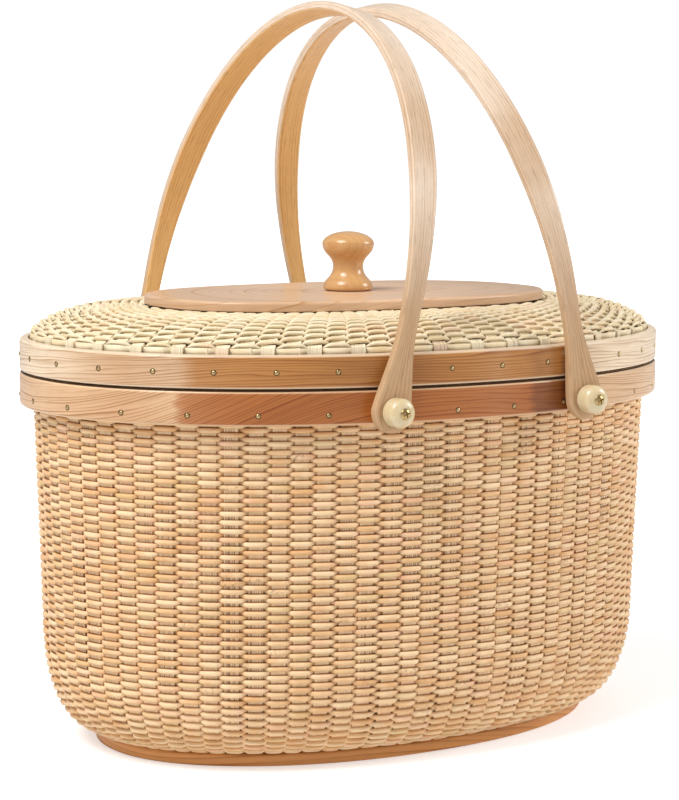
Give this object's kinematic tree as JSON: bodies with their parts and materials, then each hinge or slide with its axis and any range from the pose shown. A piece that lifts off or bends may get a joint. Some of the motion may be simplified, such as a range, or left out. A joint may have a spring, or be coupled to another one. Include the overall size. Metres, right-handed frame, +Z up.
{
  "type": "lidded woven basket",
  "caption": "Oval woven basket with bent wood hoops, a domed lift-off woven lid with a turned knob, and bow handles that swing on bone-capped pins.",
  "frame": {"origin": "under the middle of the oval base, on the surface that the basket stands on", "axes": "+Z up, +X along the oval towards its right end as pictured, +Y across it towards the back"},
  "size_m": [0.3048, 0.2396, 0.3225],
  "materials": {
    "cane": "natural woven cane, satin",
    "hoop": "bent hardwood strip, satin lacquer",
    "board": "flat hardwood board, satin lacquer",
    "knob": "turned hardwood, gloss lacquer",
    "handle": "steam-bent open-grained wood, satin",
    "bone": "polished cream bone or bone-like resin",
    "brass": "polished brass"
  },
  "bodies": {
    "basket": {"base_board": "board", "woven_body": "cane", "body_outer_hoop": "hoop", "body_inner_hoop": "hoop", "pin_knob_front_left": "bone", "pin_screw_front_left": "brass", "pin_spacer_front_left": "bone", "pin_knob_front_right": "bone", "pin_screw_front_right": "brass", "pin_spacer_front_right": "bone", "pin_knob_back_left": "bone", "pin_screw_back_left": "brass", "pin_spacer_back_left": "bone", "pin_knob_back_right": "bone", "pin_screw_back_right": "brass", "pin_spacer_back_right": "bone"},
    "lid": {"lid_outer_hoop": "hoop", "lid_inner_hoop": "hoop", "lid_locating_ring": "hoop", "lid_weave": "cane", "lid_board": "board", "lid_knob": "knob", "lid_knob_screw": "brass"},
    "handle_left": {"handle_left": "handle"},
    "handle_right": {"handle_right": "handle"}
  },
  "joints": [
    {"name": "lid_lift", "type": "slide", "parent": "basket", "child": "lid", "axis": [0, 0, 1], "range_m": [0, 0.016]},
    {"name": "handle_left_swing", "type": "hinge", "parent": "basket", "child": "handle_left", "pos_m": [-0.0495, 0, 0.1537], "axis": [0, -1, 0], "range_deg": [-1.7, 158]},
    {"name": "handle_right_swing", "type": "hinge", "parent": "basket", "child": "handle_right", "pos_m": [0.0495, 0, 0.1537], "axis": [0, 1, 0], "range_deg": [-1.7, 158]}
  ]
}
